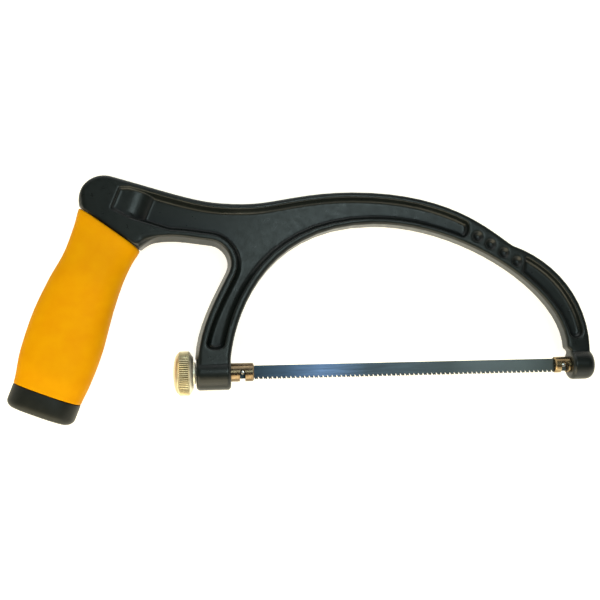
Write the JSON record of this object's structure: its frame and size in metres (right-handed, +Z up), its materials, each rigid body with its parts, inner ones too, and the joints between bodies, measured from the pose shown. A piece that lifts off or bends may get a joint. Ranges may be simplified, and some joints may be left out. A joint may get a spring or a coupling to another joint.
{
  "type": "mini hacksaw",
  "caption": "Small hacksaw with a cast bow frame, a pistol-grip handle and a pinned blade that a knurled knob draws tight; the blade slackens and lifts out of its slotted holders.",
  "frame": {"origin": "middle of the bounding box in plan, on the surface that the saw lies on", "axes": "+X forward along the blade, +Y from the blade up to the spine of the bow, +Z up out of the flat side the saw lies on"},
  "size_m": [0.2676, 0.1112, 0.024],
  "materials": {
    "casting": "satin black coating on die-cast light alloy",
    "grip": "matt moulded amber elastomer",
    "cap": "matt moulded black plastic",
    "screw": "zinc-plated steel",
    "holder": "bright nickel plate",
    "knob": "nickel plate with a straight knurl",
    "stud": "plated steel",
    "blade": "blued spring steel",
    "pin": "bright steel"
  },
  "bodies": {
    "frame": {"frame_casting": "casting", "grip_sleeve": "grip", "butt_cap": "cap", "butt_screw": "screw", "front_blade_peg": "holder"},
    "knob": {"tension_knob": "knob", "tension_stud": "stud"},
    "holder": {"draw_bar": "holder"},
    "blade": {"saw_blade": "blade", "rear_blade_pin": "pin", "front_blade_pin": "pin"}
  },
  "joints": [
    {"name": "knob_turn", "type": "hinge", "parent": "frame", "child": "knob", "pos_m": [-0.05664, -0.03414, 0.012], "axis": [-1, 0, 0], "range_deg": [0, 360]},
    {"name": "holder_slide", "type": "slide", "parent": "frame", "child": "holder", "axis": [1, 0, 0], "range_m": [0, 0.0008]},
    {"name": "blade_release", "type": "slide", "parent": "holder", "child": "blade", "axis": [0, -1, 0], "range_m": [0, 0.012]}
  ],
  "couplings": [
    {"joint": "holder_slide", "follows": "knob_turn", "m_per_rad": 0.00012732}
  ]
}
